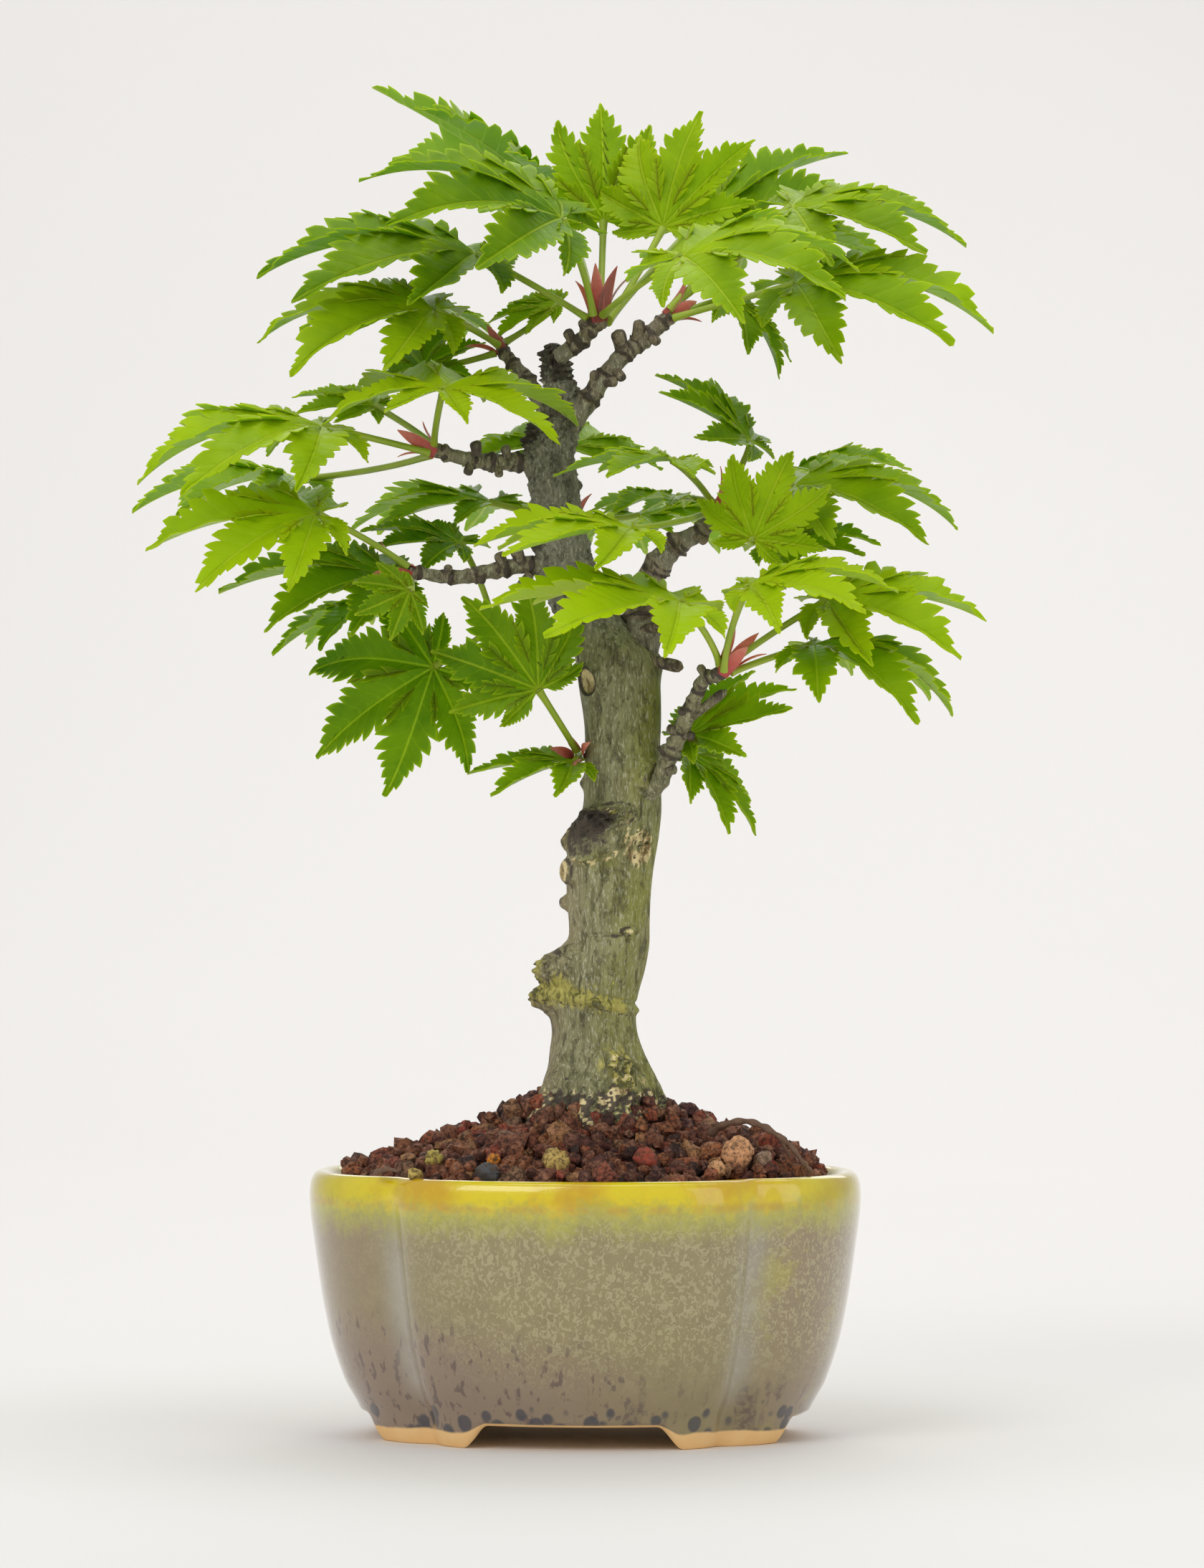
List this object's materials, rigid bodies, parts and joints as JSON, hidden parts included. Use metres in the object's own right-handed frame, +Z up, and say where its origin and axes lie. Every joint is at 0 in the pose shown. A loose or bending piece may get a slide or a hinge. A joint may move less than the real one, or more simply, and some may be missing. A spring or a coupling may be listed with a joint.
{
  "type": "bonsai tree in a pot",
  "caption": "Small maple bonsai with lobed, arching leaves on a stout knotted trunk, in a mounded soil bed in a glazed four-lobed pot on low feet.",
  "frame": {"origin": "on the surface that the pot's feet stand on, below the middle of the whole tree's box", "axes": "+Z up the trunk, +X to the right and +Y away from the side that the tree is viewed from"},
  "size_m": [0.1939, 0.1498, 0.2977],
  "materials": {
    "glaze": "glossy running glaze, olive with a yellow rim",
    "black_plastic": "moulded mesh",
    "aluminium_wire": "soft drawn wire",
    "soil": "fired clay and lava grains",
    "bark": "rough bark",
    "leaf": "soft satin leaf"
  },
  "bodies": {
    "root": {"drain_clip_left": "aluminium_wire", "drain_clip_right": "aluminium_wire", "drain_screen_left": "black_plastic", "drain_screen_right": "black_plastic", "leaf_crown_1": "leaf", "leaf_crown_2": "leaf", "leaf_crown_3": "leaf", "leaf_crown_4": "leaf", "leaf_crown_5": "leaf", "leaf_crown_6": "leaf", "leaf_crown_7": "leaf", "leaf_low_knot_1": "leaf", "leaf_low_knot_2": "leaf", "leaf_lower_left_1": "leaf", "leaf_lower_left_2": "leaf", "leaf_lower_left_3": "leaf", "leaf_lower_left_4": "leaf", "leaf_lower_right_1": "leaf", "leaf_lower_right_2": "leaf", "leaf_lower_right_3": "leaf", "leaf_lower_right_4": "leaf", "leaf_middle_left_1": "leaf", "leaf_middle_left_2": "leaf", "leaf_middle_left_3": "leaf", "leaf_middle_left_4": "leaf", "leaf_rear_1": "leaf", "leaf_rear_2": "leaf", "leaf_rear_3": "leaf", "leaf_rear_left_1": "leaf", "leaf_rear_left_2": "leaf", "leaf_second_1": "leaf", "leaf_second_2": "leaf", "leaf_second_3": "leaf", "leaf_second_4": "leaf", "leaf_second_5": "leaf", "leaf_second_6": "leaf", "leaf_second_7": "leaf", "leaf_second_8": "leaf", "leaf_trunk_left_1": "leaf", "leaf_trunk_left_2": "leaf", "leaf_upper_left_1": "leaf", "leaf_upper_left_2": "leaf", "leaf_upper_left_3": "leaf", "leaf_upper_left_4": "leaf", "leaf_upper_right_1": "leaf", "leaf_upper_right_2": "leaf", "leaf_upper_right_3": "leaf", "leaf_upper_right_4": "leaf", "lower_left_branch": "bark", "lower_right_branch": "bark", "middle_left_branch": "bark", "pot": "glaze", "rear_branch": "bark", "rear_left_twig": "bark", "second_leader": "bark", "soil": "soil", "top_twig": "bark", "trunk": "bark", "upper_left_twig": "bark", "upper_right_branch": "bark"}
  },
  "joints": []
}
